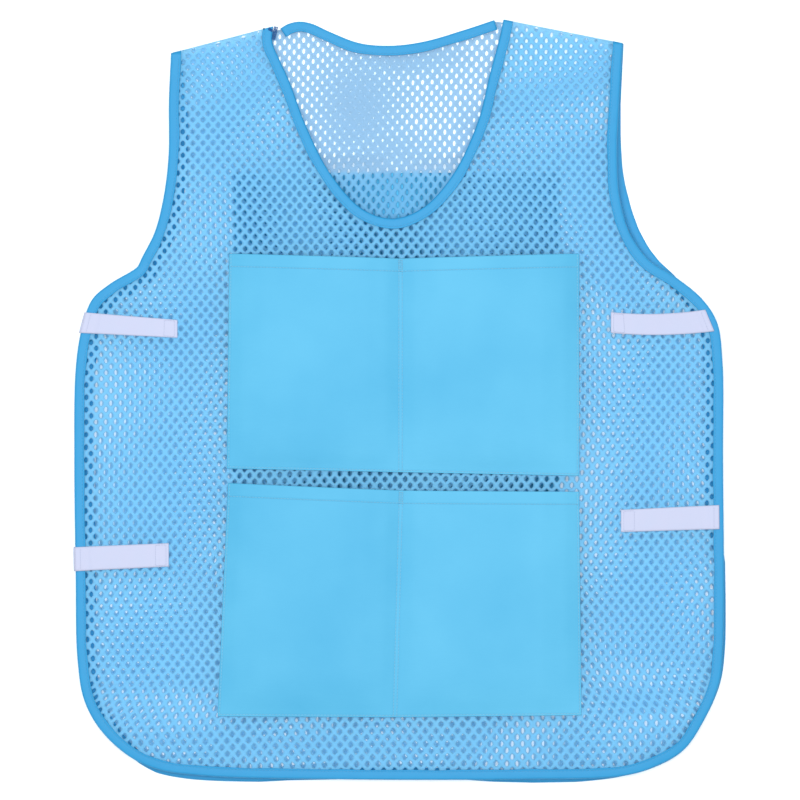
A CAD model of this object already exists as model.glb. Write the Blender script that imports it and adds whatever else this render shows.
"""A cooling vest of open net, lying flat with its front up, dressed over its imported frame.

Sizes are in millimetres, as in the frame's source, and become metres where a mesh is made. +X is the
viewer's right, +Y runs towards the shoulders and +Z is up from the surface that the vest lies on.
"""

import logging
from dataclasses import dataclass, field
from enum import Enum
from typing import Callable, NamedTuple, Sequence

import bpy
import numpy as np
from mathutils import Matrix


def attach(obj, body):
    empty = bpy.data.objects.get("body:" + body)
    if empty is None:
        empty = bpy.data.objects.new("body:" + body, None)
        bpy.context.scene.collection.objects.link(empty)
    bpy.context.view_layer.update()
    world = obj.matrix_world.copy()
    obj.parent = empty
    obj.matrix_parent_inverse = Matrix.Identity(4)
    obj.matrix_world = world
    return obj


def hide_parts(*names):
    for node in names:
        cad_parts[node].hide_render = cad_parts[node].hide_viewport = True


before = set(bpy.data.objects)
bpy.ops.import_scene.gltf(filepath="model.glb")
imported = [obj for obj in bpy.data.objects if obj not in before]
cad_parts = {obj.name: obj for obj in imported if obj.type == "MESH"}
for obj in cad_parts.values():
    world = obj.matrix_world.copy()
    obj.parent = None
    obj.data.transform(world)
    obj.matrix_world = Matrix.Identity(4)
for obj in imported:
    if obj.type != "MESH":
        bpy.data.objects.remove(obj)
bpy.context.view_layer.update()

LOG = logging.getLogger("cooling_vest")
METRES_PER_MM = 0.001
RECENTRED = (0.12, 1.21)
EDGE_STATIONS, FRONT_NECK_STATIONS, BACK_NECK_STATIONS = 900, 240, 120
CURVE_STEPS = 60
EASED_OVER = 0.03
POINTS_AT_ONCE = 2000
Height = Callable[[np.ndarray, np.ndarray], np.ndarray]


class Knot(NamedTuple):
    """A point of an outline: a share of the vest's width from its middle, and of its length from the hem."""

    across: float
    up: float


class Shift(NamedTuple):
    """How far the back's edge lies past the front's, in binding widths, at a share of the way along it."""

    along: float
    beyond: float


class Ridge(NamedTuple):
    """A soft ridge of a panel: its place and spread in shares of the vest, its rise in shares of a loft."""

    across: float
    up: float
    rise: float
    wide: float
    long: float


class Corner(NamedTuple):
    """An upright edge of a pocket row: its top and foot, in shares of a pocket's width and row's height."""

    top_x: float
    top_y: float
    foot_x: float
    foot_y: float


EDGE_OUTLINE = tuple(Knot(*row) for row in (
    (-0.352, 0.954), (-0.355, 0.892), (-0.355, 0.821), (-0.362, 0.768),
    (-0.376, 0.720), (-0.396, 0.686), (-0.403, 0.674), (-0.413, 0.668),
    (-0.445, 0.652), (-0.473, 0.631),
    (-0.490, 0.588), (-0.498, 0.539), (-0.500, 0.422), (-0.498, 0.278),
    (-0.495, 0.160), (-0.485, 0.108), (-0.461, 0.070), (-0.419, 0.036),
    (-0.376, 0.018), (-0.307, 0.009), (-0.092, 0.004), (0.184, 0.004),
    (0.338, 0.008), (0.387, 0.019), (0.436, 0.043), (0.470, 0.087),
    (0.490, 0.130), (0.496, 0.179), (0.496, 0.422), (0.495, 0.552),
    (0.487, 0.601), (0.465, 0.631), (0.424, 0.660), (0.383, 0.682),
    (0.3525, 0.718), (0.3365, 0.767), (0.333, 0.827), (0.3365, 0.886),
    (0.3425, 0.967),
))
FRONT_NECKLINE = tuple(Knot(*row) for row in (
    (-0.195, 0.989), (-0.196, 0.968), (-0.186, 0.947), (-0.170, 0.917),
    (-0.144, 0.858), (-0.107, 0.796), (-0.057, 0.749), (-0.011, 0.737),
    (0.035, 0.751), (0.080, 0.793), (0.119, 0.863), (0.139, 0.930),
    (0.153, 0.974), (0.159, 0.998),
))
BACK_NECKLINE = tuple(Knot(*row) for row in (
    (-0.184, 0.987), (-0.172, 0.993), (-0.154, 0.996), (-0.135, 0.993),
    (-0.108, 0.9825), (-0.061, 0.9675), (-0.011, 0.9645), (0.038, 0.970),
    (0.095, 0.984), (0.145, 0.998),
))
BACK_SHIFTS = tuple(Shift(*row) for row in (
    (0.000, 0.0), (0.030, -0.8), (0.110, -0.9), (0.300, -0.9),
    (0.345, -0.5), (0.364, 0.05), (0.378, 0.45), (0.395, 0.55),
    (0.428, 0.45), (0.442, 0.25), (0.465, 0.1), (0.490, -0.3),
    (0.515, -0.1), (0.540, 0.3), (0.560, 0.45), (0.580, 0.4),
    (0.605, 0.1), (0.625, 0.15), (0.645, 0.1), (0.665, 0.15),
    (0.690, 0.3), (0.730, 0.2), (0.760, -0.8),
    (0.845, -0.8), (0.870, -0.2), (0.880, 0.3), (0.890, 0.8), (0.902, 1.05),
    (0.912, 1.1), (0.925, 0.95), (0.940, 0.6), (0.952, 0.45), (0.970, 0.2),
    (1.000, 0.1),
))
FRONT_RIDGES = tuple(Ridge(*row) for row in (
    (-0.39, 0.45, 0.28, 0.06, 0.05), (-0.38, 0.20, 0.24, 0.05, 0.06),
    (0.40, 0.52, 0.32, 0.05, 0.04), (0.38, 0.24, 0.26, 0.05, 0.06),
))
BACK_RIDGES = tuple(Ridge(*row) for row in (
    (-0.37, 0.33, 0.20, 0.05, 0.06), (0.39, 0.38, 0.20, 0.05, 0.06),
    (0.02, 0.10, 0.20, 0.10, 0.04),
))
ACROSS_SWELL = ((-1.0, 0.0), (-0.85, 0.48), (-0.6, 0.87), (0.0, 1.0), (0.6, 0.87), (0.85, 0.48), (1.0, 0.0))
UP_SWELL = ((0.0, 0.0), (0.06, 0.45), (0.16, 0.85), (0.32, 1.0), (1.0, 1.0))

# Stitches and the grooves that they draw into the cloth, in millimetres.
GROOVE_WIDE = 0.7
HEM_GROOVE, HEM_GROOVE_WIDE, HEM_EASE = 0.15, 0.8, 1.2
EDGE_GROOVE, SEAM_GROOVE = 0.25, 0.35
EDGE_STITCH_IN, HEM_STITCH_IN = 1.6, 0.6
POCKET_STITCH, POCKET_THREAD = 2.7, 0.36
TAPE_STITCH_LIFT = 0.12
CLOTH_SHARE = 0.9

# The light all round, and the key light's place, aim, width and power.
SKY_STRENGTH = 0.5
KEY_PLACE, KEY_AIM = (-0.1, 0.25, 2.8), (-0.089, -0.036, 0.0)
KEY_WIDE, KEY_POWER = 2.2, 108.0

# Each strap's node, then its shape in the order of Strap's own fields.
STRAPS = (
    ("strap_left_upper", -1, True, 0.601, 0.99, 0.0, 0.92, 0.80, -0.28, 0.0),
    ("strap_left_lower", -1, True, 0.292, 0.98, 0.0, 1.08, 1.05, 0.20, 0.0),
    ("strap_right_upper", 1, False, 0.604, 1.05, 0.55, 0.97, 0.93, -0.10, -0.13),
    ("strap_right_lower", 1, False, 0.347, 1.03, 0.45, 1.08, 1.00, -0.17, 0.0),
)


def smooth(value: np.ndarray) -> np.ndarray:
    """Rises from 0 to 1 with level ends: 3t^2 - 2t^3 of the clamped value."""
    share = np.clip(value, 0.0, 1.0)
    return share * share * (3.0 - 2.0 * share)


def eased(table: Sequence[Sequence[float]], place: np.ndarray) -> np.ndarray:
    """Reads a two-column table with a level-ended blend towards each row, so that its steps stay soft.

    Args:
        table: Rows of place and value, in rising order of place.
        place: Where to read it.

    Returns:
        The mean of the straight reading and readings a little to either side.
    """
    places, values = np.array(table).T
    steps = (-EASED_OVER, -EASED_OVER / 2, 0.0, EASED_OVER / 2, EASED_OVER)
    readings = [np.interp(place + step, places, values) for step in steps]
    return sum(readings) / len(readings)


def groove(distance: np.ndarray, depth: float, wide: float) -> np.ndarray:
    """Depth of a soft groove at distances from its middle: a bell of a given spread."""
    return depth * np.exp(-((distance / wide) ** 2))


def steps_along(line: np.ndarray) -> np.ndarray:
    """Distance of each point of a line from the line's start."""
    return np.concatenate([[0.0], np.cumsum(np.linalg.norm(np.diff(line, axis=0), axis=1))])


def crossed_grid(first: np.ndarray, second: np.ndarray) -> np.ndarray:
    """Places of a cloth in metres, from its two runs in millimetres."""
    return np.stack(np.meshgrid(first, second, indexing="ij"), axis=-1) * METRES_PER_MM


@dataclass(frozen=True)
class Sizes:
    """The vest's named sizes, in millimetres, and the heights of its layers worked out from them."""

    width: float = 586.0
    length: float = 688.0
    net: float = 1.2
    pocket_cloth: float = 1.0
    tape: float = 1.0
    strap: float = 1.0
    hem_fold: float = 0.6
    gap: float = 0.3
    binding_width: float = 9.0
    strap_width: float = 20.0
    strap_length: float = 86.0
    strap_tail: float = 14.0
    strap_play: float = 0.8
    front_pocket_width: float = 157.0
    front_upper_height: float = 192.0
    front_lower_height: float = 203.0
    front_row_gap: float = 16.0
    front_pocket_foot: float = 60.0
    back_pocket_width: float = 147.6
    back_pocket_height: float = 191.0
    back_row_gap: float = 19.0
    back_pocket_foot: float = 148.0
    back_pocket_aside: float = -3.6
    pocket_hem: float = 12.0
    side_seam: float = 2.0
    centre_seam: float = 3.0
    pocket_loft: float = 7.0
    edge_loft: float = 5.0
    chest_loft: float = 6.0
    shoulder_flat: float = 38.0
    shoulder_ramp: float = 115.0
    side_flat: float = 12.0
    front_plateau: float = 168.0
    hem_flat: float = 12.0
    hem_ramp: float = 42.0
    mouth_reach: float = 6.0
    mouth_ramp: float = 11.0

    @property
    def back_underside(self) -> float:
        """Height of the back net's underside where nothing swells it."""
        return max(self.tape, self.pocket_cloth) + self.gap

    @property
    def binding_over(self) -> float:
        """From a net's underside up to its binding's top."""
        return self.net + self.gap + self.tape

    @property
    def binding_under(self) -> float:
        """From a net's underside down to its binding's underside."""
        return self.gap + self.tape

    @property
    def back_binding_top(self) -> float:
        """Height of the top of the back's binding."""
        return self.back_underside + self.binding_over

    @property
    def shoulder_level(self) -> float:
        """Height of the front net's underside at the shoulders."""
        return self.back_binding_top + self.gap + self.binding_under

    @property
    def edge_level(self) -> float:
        """Height of the front net's underside along its sides and hem."""
        return self.back_binding_top + self.edge_loft + self.binding_under

    @property
    def chest_level(self) -> float:
        """Height of the front net's underside under its pockets."""
        return self.back_underside + self.pocket_loft + self.net + self.chest_loft

    def from_hem(self, distance: float) -> float:
        """Height on the plan of a distance from the hem."""
        return distance - self.length / 2

    @property
    def back_row_tops(self) -> tuple[float, float]:
        """Mouths of the lower and the upper row of back pockets, from the hem."""
        lower = self.back_pocket_foot + self.back_pocket_height
        return lower, lower + self.back_row_gap + self.back_pocket_height


def spaced_curve(points: np.ndarray, steps: int) -> np.ndarray:
    """Even stations on the centripetal Catmull-Rom curve through some points.

    Each span is a cubic whose end tangents come from its neighbours' distances to the power one half.

    Args:
        points: The knots, one a row.
        steps: How many spans of equal length to return.

    Returns:
        steps + 1 points.
    """
    padded = np.vstack([2 * points[0] - points[1], points, 2 * points[-1] - points[-2]])
    p0, p1, p2, p3 = padded[:-3], padded[1:-2], padded[2:-1], padded[3:]
    spans = ((p0, p1), (p1, p2), (p2, p3))
    d0, d1, d2 = (np.sqrt(np.linalg.norm(b - a, axis=1))[:, None] for a, b in spans)
    t1 = ((p1 - p0) / d0 - (p2 - p0) / (d0 + d1) + (p2 - p1) / d1) * d1
    t2 = ((p2 - p1) / d1 - (p3 - p1) / (d1 + d2) + (p3 - p2) / d2) * d1
    share = np.linspace(0.0, 1.0, CURVE_STEPS, endpoint=False)[None, :, None]
    cubic = (
        p1[:, None]
        + t1[:, None] * share
        + (3 * (p2 - p1) - 2 * t1 - t2)[:, None] * share**2
        + (2 * (p1 - p2) + t1 + t2)[:, None] * share**3
    )
    line = np.vstack([cubic.reshape(-1, points.shape[1]), points[-1]])
    return resampled(line, steps)


def resampled(line: np.ndarray, steps: int) -> np.ndarray:
    """Even stations along a line of points."""
    walked = steps_along(line)
    places = np.linspace(0.0, walked[-1], steps + 1)
    return np.stack([np.interp(places, walked, column) for column in line.T], axis=1)


@dataclass(frozen=True)
class Edge:
    """An edge of a panel: stations on the plan, the direction into the cloth, and the way walked."""

    points: np.ndarray
    inward: np.ndarray

    @classmethod
    def along(cls, points: np.ndarray, hand: float, seams: tuple[np.ndarray, np.ndarray] | None) -> "Edge":
        """Finds the direction into the cloth at each station.

        Args:
            points: The stations.
            hand: 1 where the cloth is left of the run, -1 where it is right.
            seams: The far ends of the shoulder seams that the edge's two ends are cut along, if any.

        Returns:
            The edge.
        """
        run = np.gradient(points, axis=0)
        run /= np.linalg.norm(run, axis=1, keepdims=True)
        inward = hand * np.stack([-run[:, 1], run[:, 0]], axis=1)
        if seams is not None:
            for index, seam in ((0, seams[0]), (-1, seams[1])):
                way = seam - points[index]
                way /= np.linalg.norm(way)
                inward[index] = way / (way @ inward[index])
        return cls(points, inward)

    @property
    def walked(self) -> np.ndarray:
        """Distance of each station along the edge."""
        return steps_along(self.points)

    def moved_in(self, distance: np.ndarray | float) -> np.ndarray:
        """Stations moved into the cloth: one distance, or one for each station."""
        return self.points + self.inward * np.reshape(distance, (-1, 1))


class VestForm:
    """The vest's plan and the heights of its two panels, which every piece follows."""

    def __init__(self, sizes: Sizes) -> None:
        """Works out the edges of both panels.

        Args:
            sizes: The named sizes.
        """
        self.sizes = sizes
        self.offset = np.array(RECENTRED)
        plan = [self._knots(table) for table in (EDGE_OUTLINE, FRONT_NECKLINE, BACK_NECKLINE)]
        edge = spaced_curve(plan[0], EDGE_STATIONS)
        front_neck = spaced_curve(plan[1], FRONT_NECK_STATIONS)
        back_neck = spaced_curve(plan[2], BACK_NECK_STATIONS)
        plain = Edge.along(edge, 1.0, (front_neck[0], front_neck[-1]))
        shifts = np.interp(np.linspace(0.0, 1.0, len(edge)), *np.array(BACK_SHIFTS).T)
        back = plain.moved_in(-shifts * sizes.binding_width)
        outlines = (edge, front_neck, back, back_neck)
        edge, front_neck, back, back_neck = (line + self.offset for line in outlines)
        self.front_edge = Edge.along(edge, 1.0, tuple(front_neck[[0, -1]]))
        self.front_neck = Edge.along(front_neck, -1.0, tuple(edge[[0, -1]]))
        self.back_edge = Edge.along(back, 1.0, tuple(back_neck[[0, -1]]))
        self.back_neck = Edge.along(back_neck, -1.0, None)

    def _knots(self, table: Sequence[Knot]) -> np.ndarray:
        """Knots of an outline in millimetres."""
        return np.array(table) * [self.sizes.width, self.sizes.length] - [0.0, self.sizes.length / 2]

    def _ridges(self, table: Sequence[Ridge], x: np.ndarray, y: np.ndarray) -> np.ndarray:
        """Sum of bell-shaped ridges at places on the plan."""
        s = self.sizes
        total = np.zeros_like(x)
        for ridge in table:
            aside = (x - ridge.across * s.width) / (ridge.wide * s.width)
            ahead = (y - s.from_hem(ridge.up * s.length)) / (ridge.long * s.length)
            total += ridge.rise * s.pocket_loft * np.exp(-(aside**2) - ahead**2)
        return total

    def front_height(self, x: np.ndarray, y: np.ndarray) -> np.ndarray:
        """Underside of the front net: level over the pockets, lower at the edges, lowest at the shoulders."""
        s = self.sizes
        x = x - self.offset[0]
        y = y - self.offset[1]
        fade = smooth((s.length / 2 - s.shoulder_flat - y) / s.shoulder_ramp)
        flank = s.width / 2 - s.side_flat
        aside = smooth((flank - np.abs(x)) / (flank - s.front_plateau))
        foot = smooth((y - s.from_hem(s.hem_flat)) / s.hem_ramp)
        lift = (s.chest_level - s.edge_level) * aside * foot
        body = s.edge_level + lift + self._ridges(FRONT_RIDGES, x, y) * (1 - aside)
        return s.shoulder_level + (body - s.shoulder_level) * fade

    def back_height(self, x: np.ndarray, y: np.ndarray) -> np.ndarray:
        """Underside of the back net: on the floor, but swelled over each back pocket."""
        s = self.sizes
        x = x - self.offset[0]
        y = y - self.offset[1]
        half = s.back_pocket_width / 2
        out = (np.abs(x - s.back_pocket_aside) - half) / (half - s.centre_seam / 2)
        total = s.back_underside + self._ridges(BACK_RIDGES, x, y)
        for top in s.back_row_tops:
            up = (y - s.from_hem(top - s.back_pocket_height)) / s.back_pocket_height
            past = np.clip((y - s.from_hem(top) - s.mouth_reach) / s.mouth_ramp, 0.0, 1.0)
            total = total + s.pocket_loft * eased(UP_SWELL, up) * (1 - past) * eased(ACROSS_SWELL, out)
        return total


class Socket:
    """A node's output that Python arithmetic works on: each operation adds its Math node."""

    def __init__(self, graph: "Graph", output: bpy.types.NodeSocket) -> None:
        """Wraps an output of a node in a graph."""
        self.graph = graph
        self.output = output

    def _math(self, operation: str, first: object, second: object) -> "Socket":
        """Adds a Math node on two values."""
        return self.graph.node("ShaderNodeMath", {"operation": operation}, {0: first, 1: second}).out("Value")

    def __add__(self, other: object) -> "Socket":
        """Sum."""
        return self._math("ADD", self, other)

    __radd__ = __add__

    def __sub__(self, other: object) -> "Socket":
        """Difference."""
        return self._math("SUBTRACT", self, other)

    def __rsub__(self, other: object) -> "Socket":
        """Difference from a number."""
        return self._math("SUBTRACT", other, self)

    def __mul__(self, other: object) -> "Socket":
        """Product."""
        return self._math("MULTIPLY", self, other)

    __rmul__ = __mul__

    def power(self, exponent: float) -> "Socket":
        """The value to a power."""
        return self._math("POWER", self, exponent)

    def sine(self) -> "Socket":
        """Sine of the value in radians."""
        return self._math("SINE", self, 0.0)


class Node:
    """A node in a graph."""

    def __init__(self, graph: "Graph", node: bpy.types.Node) -> None:
        """Wraps a Blender node."""
        self.graph = graph
        self.node = node

    def out(self, name: str | int) -> Socket:
        """One of the node's outputs, by name or place."""
        return Socket(self.graph, self.node.outputs[name])


class Graph:
    """A material's node tree."""

    def __init__(self, name: str) -> None:
        """Makes a material with an empty tree.

        Args:
            name: The material's name.
        """
        self.material = bpy.data.materials.new(name)
        self.material.use_nodes = True
        self.tree = self.material.node_tree
        self.tree.nodes.clear()

    def node(self, kind: str, settings: dict | None = None, inputs: dict | None = None) -> Node:
        """Adds a node.

        Args:
            kind: The node's type.
            settings: Its properties, set before its sockets.
            inputs: Socket name or place to a number, colour, vector or Socket.

        Returns:
            The node.
        """
        node = self.tree.nodes.new(kind)
        for name, value in (settings or {}).items():
            setattr(node, name, value)
        for name, value in (inputs or {}).items():
            if isinstance(value, Socket):
                self.tree.links.new(value.output, node.inputs[name])
            else:
                node.inputs[name].default_value = value
        return Node(self, node)

    def coordinates(self, source: str = "Object") -> Socket:
        """The place on the piece, from its Object coordinates or its UV map."""
        return self.node("ShaderNodeTexCoord").out(source)

    def split(self, vector: Socket) -> tuple[Socket, Socket, Socket]:
        """A vector's three parts."""
        parts = self.node("ShaderNodeSeparateXYZ", None, {0: vector})
        return parts.out(0), parts.out(1), parts.out(2)

    def noise(self, vector: Socket, per_metre: float, detail: float = 2.0) -> Socket:
        """Soft noise from 0 to 1 of so many lumps a metre."""
        inputs = {"Vector": vector, "Scale": per_metre, "Detail": detail}
        return self.node("ShaderNodeTexNoise", None, inputs).out("Fac")

    def blend(self, share: Socket | float, first: object, second: object) -> Socket:
        """Mix of two colours."""
        inputs = {0: share, 6: first, 7: second}
        return self.node("ShaderNodeMix", {"data_type": "RGBA"}, inputs).out(2)

    def bump(self, height: Socket, depth_mm: float) -> Socket:
        """A normal from a height whose full swing is so many millimetres."""
        inputs = {"Strength": 1.0, "Distance": depth_mm * METRES_PER_MM, "Height": height}
        return self.node("ShaderNodeBump", None, inputs).out("Normal")

    def surface(
        self, inputs: dict, glow: float = 0.0, glow_colour: tuple | None = None
    ) -> bpy.types.Material:
        """Ends the tree in a Principled shader, through which some light may glow.

        Args:
            inputs: The Principled shader's sockets.
            glow: Share of the light that the cloth lets through diffusely.
            glow_colour: Colour of that light.

        Returns:
            The material.
        """
        shader = self.node("ShaderNodeBsdfPrincipled", None, inputs).out("BSDF")
        if glow:
            through = self.node("ShaderNodeBsdfTranslucent", None, {"Color": glow_colour}).out("BSDF")
            shader = self.node("ShaderNodeMixShader", None, {0: glow, 1: shader, 2: through}).out(0)
        self.node("ShaderNodeOutputMaterial", None, {"Surface": shader})
        return self.material


STUDIO_LEVEL = 1.5
STUDIO_GLOSS = 0.02
DARKEST, PALEST = 0.002, 0.95


class Tone(Enum):
    """The vest's colours as 8-bit screen values, as they look under the studio light."""

    NET_LIGHT = (146, 218, 252)
    NET_DEEP = (126, 204, 246)
    BACK_NET_LIGHT = (144, 214, 250)
    BACK_NET_DEEP = (128, 202, 244)
    NET_HAZE = (156, 192, 222)
    NET_GLOW = (220, 240, 251)
    POCKET = (107, 200, 241)
    POCKET_DEEP = (90, 186, 231)
    BACK_POCKET = (96, 190, 230)
    BACK_POCKET_DEEP = (76, 172, 220)
    TAPE = (65, 171, 228)
    TAPE_DEEP = (56, 160, 220)
    STRAP = (207, 218, 246)
    STRAP_WARM = (212, 216, 244)
    THREAD = (142, 216, 250)
    TAPE_THREAD = (98, 188, 240)
    TACK_THREAD = (40, 106, 178)
    STRAP_THREAD = (198, 209, 240)

    def albedo(self, boost: float = 1.0) -> tuple[float, float, float, float]:
        """Linear colour of a nearly matt face that looks so under the studio's light.

        Args:
            boost: How much more the cloth must send back, because it lets some of the light through.

        Returns:
            The colour.
        """
        screen = np.array(self.value) / 255.0
        linear = np.where(screen <= 0.04045, screen / 12.92, ((screen + 0.055) / 1.055) ** 2.4)
        matt = np.clip(boost * (linear - STUDIO_GLOSS) / STUDIO_LEVEL, DARKEST, PALEST)
        return (*(float(part) for part in matt), 1.0)


@dataclass(frozen=True)
class NetFinish:
    """Knitted polyester net: soft threads along the strands, see-through at the holes' fuzzy edges.

    Its UV map's x is how hazy the net is, and y is 1 at the edge of a hole.
    """

    light: Tone
    deep: Tone
    hazy: Tone = Tone.NET_HAZE
    threads_per_metre: float = 2600.0
    thread_depth: float = 0.10
    thread_share: float = 0.3
    thread_detail: float = 1.0
    mottle_per_metre: float = 14.0
    mottle_share: float = 0.7
    boost: float = 1.35
    roughness: float = 0.6
    roughness_swing: float = 0.2
    specular: float = 0.2
    cover: float = 0.9
    fuzz: float = 0.8
    fuzz_power: float = 3.0
    glow: float = 0.5

    def material(self, name: str) -> bpy.types.Material:
        """The finish as a material."""
        graph = Graph(name)
        place = graph.coordinates()
        mottle = graph.noise(place, self.mottle_per_metre)
        threads = graph.noise(place, self.threads_per_metre, self.thread_detail)
        share = mottle * self.mottle_share + threads * self.thread_share
        haze, fuzz, _ = graph.split(graph.coordinates("UV"))
        light, deep, pale = (tone.albedo(self.boost) for tone in (self.light, self.deep, self.hazy))
        yarn = {
            "Base Color": graph.blend(haze, graph.blend(share, deep, light), pale),
            "Roughness": threads * self.roughness_swing + self.roughness,
            "Alpha": self.cover - fuzz.power(self.fuzz_power) * self.fuzz,
            "Specular IOR Level": self.specular,
            "Normal": graph.bump(threads, self.thread_depth),
        }
        return graph.surface(yarn, self.glow, Tone.NET_GLOW.albedo(STUDIO_LEVEL))


@dataclass(frozen=True)
class WovenFinish:
    """Smooth plain-woven pocket cloth: fine warp and weft, faint slubs and soft creases."""

    light: Tone = Tone.POCKET
    deep: Tone = Tone.POCKET_DEEP
    yarns_per_metre: float = 2200.0
    yarn_depth: float = 0.05
    yarn_rise: float = 0.3
    slubs_per_metre: float = 120.0
    slub_stretch: float = 14.0
    slub_tone: float = 0.4
    slub_rise: float = 0.3
    creases_per_metre: float = 9.0
    crease_detail: float = 3.0
    crease_tone: float = 1.8
    crease_rise: float = 4.0
    tone_shift: float = 0.6
    roughness: float = 0.58
    roughness_swing: float = 0.12
    specular: float = 0.25

    def material(self, name: str) -> bpy.types.Material:
        """The finish as a material."""
        graph = Graph(name)
        place = graph.coordinates()
        x, y, _ = graph.split(place)
        turn = 2 * np.pi * self.yarns_per_metre / 2
        weave = (x * turn).sine() * (y * turn).sine()
        stretched = {"Vector": place, "Scale": (1, self.slub_stretch, 1)}
        slubs = graph.noise(graph.node("ShaderNodeMapping", None, stretched).out(0), self.slubs_per_metre)
        creases = graph.noise(place, self.creases_per_metre, self.crease_detail)
        share = slubs * self.slub_tone + creases * self.crease_tone - self.tone_shift
        rise = weave * self.yarn_rise + slubs * self.slub_rise + creases * self.crease_rise
        deep, plain = (tone.albedo() for tone in (self.deep, self.light))
        return graph.surface(
            {
                "Base Color": graph.blend(share, deep, plain),
                "Roughness": slubs * self.roughness_swing + self.roughness,
                "Specular IOR Level": self.specular,
                "Normal": graph.bump(rise, self.yarn_depth),
            }
        )


@dataclass(frozen=True)
class TapeFinish:
    """Woven tape: fine ribs across its width, laid along its own UV map."""

    light: Tone
    deep: Tone
    ribs_per_metre: float = 1400.0
    rib_depth: float = 0.06
    roughness: float = 0.45
    specular: float = 0.3
    rib_slant: float = 0.5
    rib_tone: float = 0.1
    rib_rise: float = 0.5
    wear_per_metre: float = 60.0
    wear_tone: float = 0.8
    wear_rise: float = 2.0
    roughness_swing: float = 0.15

    def material(self, name: str) -> bpy.types.Material:
        """The finish as a material."""
        graph = Graph(name)
        along, across, _ = graph.split(graph.coordinates("UV"))
        turn = 2 * np.pi * self.ribs_per_metre
        ribs = (along * turn + across * turn * self.rib_slant).sine()
        wear = graph.noise(graph.coordinates("UV"), self.wear_per_metre)
        light, deep = (tone.albedo() for tone in (self.light, self.deep))
        return graph.surface(
            {
                "Base Color": graph.blend(wear * self.wear_tone + ribs * self.rib_tone, deep, light),
                "Roughness": wear * self.roughness_swing + self.roughness,
                "Specular IOR Level": self.specular,
                "Normal": graph.bump(ribs * self.rib_rise + wear * self.wear_rise, self.rib_depth),
            }
        )


@dataclass(frozen=True)
class ThreadFinish:
    """Twisted sewing thread."""

    tone: Tone
    twists_per_metre: float = 3000.0
    twist_depth: float = 0.05
    shade: float = 0.85
    roughness: float = 0.4
    roughness_swing: float = 0.2

    def material(self, name: str) -> bpy.types.Material:
        """The finish as a material."""
        graph = Graph(name)
        fibres = graph.noise(graph.coordinates(), self.twists_per_metre)
        colour = self.tone.albedo()
        darker = tuple(self.shade * part for part in colour[:3]) + (1.0,)
        return graph.surface(
            {
                "Base Color": graph.blend(fibres, darker, colour),
                "Roughness": fibres * self.roughness_swing + self.roughness,
                "Normal": graph.bump(fibres, self.twist_depth),
            }
        )


@dataclass
class Skin:
    """Part of a mesh: vertices in millimetres, faces of three or four corners, and its material's place.

    Edges between two vertices from crisp_from on are shaded as crisp folds.
    """

    points: np.ndarray
    faces: np.ndarray
    finish: int = 0
    uv: np.ndarray | None = None
    crisp_from: int | None = None

    def crisp(self) -> np.ndarray:
        """Whether each vertex may lie on a crisp fold."""
        count = len(self.points)
        return np.arange(count) >= (count if self.crisp_from is None else self.crisp_from)

    def outward(self) -> "Skin":
        """The same skin with its faces turned outwards, judged by the sign of its volume."""
        a, b, c = (self.points[self.faces[:, corner]] for corner in range(3))
        volume = np.einsum("ij,ij->", a, np.cross(b, c))
        if self.faces.shape[1] == 4:
            d = self.points[self.faces[:, 3]]
            volume += np.einsum("ij,ij->", a, np.cross(c, d))
        if volume < 0:
            self.faces = self.faces[:, ::-1]
        return self


def shell(top: np.ndarray, bottom: np.ndarray, uv: np.ndarray | None = None, finish: int = 0) -> Skin:
    """Closed skin between two grids of points of equal size, with a rim round all four sides.

    Args:
        top: The upper face, rows by columns by three.
        bottom: The lower face, likewise.
        uv: A place on the cloth in metres for each point of a face, if its finish needs one.
        finish: Its material's place.

    Returns:
        The skin, of quads.
    """
    rows, columns = top.shape[:2]
    index = np.arange(rows * columns).reshape(rows, columns)
    below = index + rows * columns
    upper = np.stack([index[:-1, :-1], index[:-1, 1:], index[1:, 1:], index[1:, :-1]], axis=-1).reshape(-1, 4)
    lower = (upper + rows * columns)[:, ::-1]
    rim = np.concatenate([index[0, :-1], index[:-1, -1], index[-1, :0:-1], index[:0:-1, 0]])
    after = np.roll(rim, -1)
    wall = np.stack([after, rim, rim + below[0, 0], after + below[0, 0]], axis=-1)
    faces = np.concatenate([upper, lower, wall])
    points = np.concatenate([top.reshape(-1, 3), bottom.reshape(-1, 3)])
    maps = None if uv is None else np.concatenate([uv.reshape(-1, 2)] * 2)
    return Skin(points, faces, finish, maps).outward()


SPINDLE_RINGS = ((-0.36, 0.8), (0.0, 1.0), (0.36, 0.8))
SPINDLE_SINK = 0.8
SPINDLE_SIDES = 4


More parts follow.
